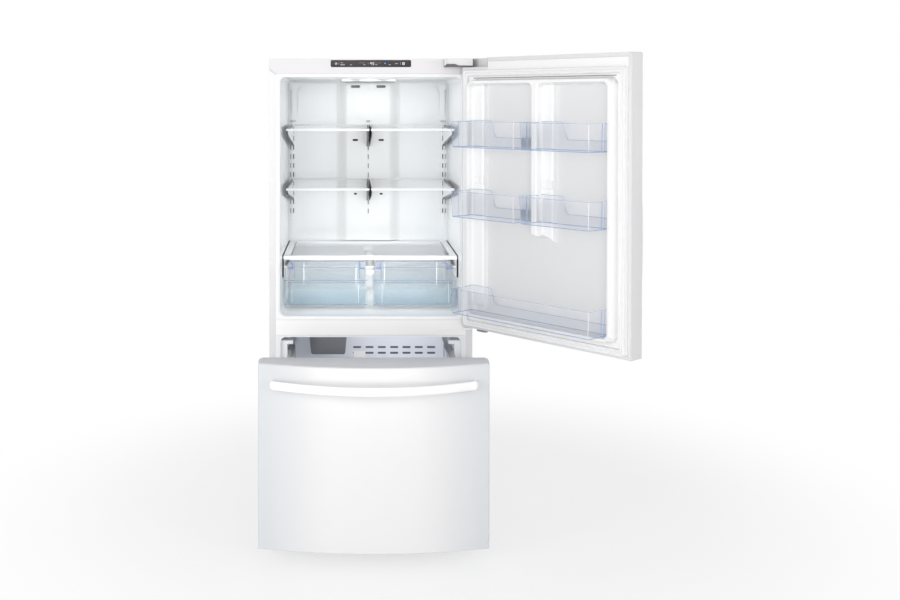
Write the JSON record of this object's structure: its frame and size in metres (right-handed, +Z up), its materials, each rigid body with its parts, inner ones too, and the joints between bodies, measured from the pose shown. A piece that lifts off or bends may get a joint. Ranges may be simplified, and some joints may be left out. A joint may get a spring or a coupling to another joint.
{
  "type": "bottom freezer refrigerator",
  "caption": "Bottom freezer refrigerator with its upper door open and its freezer drawer pulled out, and with glass shelves, crispers and clear door bins inside.",
  "frame": {"origin": "bottom centre of the bounding box at rest, with the door open and the drawer pulled out, on the floor", "axes": "+Z up, +Y towards the back of the cabinet, +X towards the hinge side of the door"},
  "size_m": [1.2616, 1.343, 1.6442],
  "materials": {
    "case_paint": "gloss",
    "zinc_sheet": "satin",
    "header_plastic": "gloss",
    "control_glass": "gloss",
    "liner_plastic": "satin",
    "white_plastic": "satin",
    "foam": "matte",
    "shelf_paint": "satin",
    "shelf_glass": "gloss",
    "lamp_plastic": "gloss",
    "aluminium": "satin",
    "grey_plastic": "matte",
    "dark_steel": "satin",
    "black_paint": "satin",
    "foot_rubber": "matte",
    "gasket_rubber": "matte",
    "handle_paint": "gloss",
    "clear_plastic": "gloss",
    "crisper_plastic": "gloss"
  },
  "bodies": {
    "cabinet": {"outer_case": "case_paint", "back_panel": "zinc_sheet", "header_panel": "header_plastic", "control_panel": "control_glass", "mullion_cover": "case_paint", "fridge_liner": "liner_plastic", "freezer_liner": "liner_plastic", "base_pan": "zinc_sheet", "cabinet_foam": "foam", "duct_cover": "white_plastic", "ladder_left": "shelf_paint", "ladder_right": "shelf_paint", "shelf_frame_upper_right": "white_plastic", "shelf_frame_upper_left": "white_plastic", "shelf_frame_lower_right": "white_plastic", "shelf_frame_lower_left": "white_plastic", "shelf_glass_upper_right": "shelf_glass", "shelf_glass_upper_left": "shelf_glass", "shelf_glass_lower_right": "shelf_glass", "shelf_glass_lower_left": "shelf_glass", "crisper_cover_frame": "white_plastic", "crisper_cover_glass": "shelf_glass", "ceiling_lamp_cover": "lamp_plastic", "evaporator_cover": "white_plastic", "evaporator": "aluminium", "ice_maker": "grey_plastic", "slide_outer_right": "zinc_sheet", "slide_outer_left": "zinc_sheet", "top_hinge": "dark_steel", "top_hinge_cover": "header_plastic", "middle_hinge": "case_paint", "compressor": "black_paint", "condenser": "aluminium", "drain_pan": "grey_plastic", "rear_cover": "zinc_sheet"},
    "door": {"door_skin": "case_paint", "door_liner": "liner_plastic", "door_foam": "foam", "door_gasket": "gasket_rubber", "door_handle": "handle_paint", "bin_upper_hinge_side": "clear_plastic", "bin_upper_handle_side": "clear_plastic", "bin_middle_hinge_side": "clear_plastic", "bin_middle_handle_side": "clear_plastic", "bin_bottom": "clear_plastic"},
    "drawer": {"drawer_skin": "case_paint", "drawer_liner": "liner_plastic", "drawer_foam": "foam", "drawer_gasket": "gasket_rubber", "drawer_handle": "handle_paint", "drawer_frame": "zinc_sheet", "drawer_basket": "white_plastic"},
    "middle_slides": {"slide_middles": "zinc_sheet"},
    "crisper_left": {"crisper_left": "crisper_plastic"},
    "crisper_right": {"crisper_right": "crisper_plastic"},
    "evaporator_fan": {"evaporator_fan": "grey_plastic"},
    "condenser_fan": {"condenser_fan": "grey_plastic"},
    "leg_left": {"leg_left": "foot_rubber"},
    "leg_right": {"leg_right": "foot_rubber"},
    "rear_rollers": {"rear_rollers": "foot_rubber"}
  },
  "joints": [
    {"name": "door_hinge", "type": "hinge", "parent": "cabinet", "child": "door", "pos_m": [0.10421, -0.0545, 1.15], "axis": [0, 0, 1], "range_deg": [-129.9, 0]},
    {"name": "drawer_slide", "type": "slide", "parent": "cabinet", "child": "drawer", "axis": [0, -1, 0], "range_m": [-0.462, 0]},
    {"name": "middle_slide", "type": "slide", "parent": "cabinet", "child": "middle_slides", "axis": [0, -1, 0], "range_m": [-0.231, 0]},
    {"name": "crisper_left_slide", "type": "slide", "parent": "cabinet", "child": "crisper_left", "axis": [0, -1, 0], "range_m": [0, 0.175]},
    {"name": "crisper_right_slide", "type": "slide", "parent": "cabinet", "child": "crisper_right", "axis": [0, -1, 0], "range_m": [0, 0.175]},
    {"name": "evaporator_fan_spin", "type": "hinge", "parent": "cabinet", "child": "evaporator_fan", "pos_m": [-0.40579, 0.5535, 0.56], "axis": [0, 1, 0], "continuous": true},
    {"name": "condenser_fan_spin", "type": "hinge", "parent": "cabinet", "child": "condenser_fan", "pos_m": [-0.29979, 0.5715, 0.13], "axis": [1, 0, 0], "continuous": true},
    {"name": "leg_left_screw", "type": "hinge", "parent": "cabinet", "child": "leg_left", "pos_m": [-0.58579, 0.0415, 0.02], "axis": [0, 0, 1], "continuous": true},
    {"name": "leg_right_screw", "type": "hinge", "parent": "cabinet", "child": "leg_right", "pos_m": [0.07421, 0.0415, 0.02], "axis": [0, 0, 1], "continuous": true},
    {"name": "rear_roller_spin", "type": "hinge", "parent": "cabinet", "child": "rear_rollers", "pos_m": [-0.25579, 0.6215, 0.018], "axis": [1, 0, 0], "continuous": true}
  ],
  "couplings": [
    {"joint": "middle_slide", "follows": "drawer_slide", "ratio": 0.5}
  ]
}
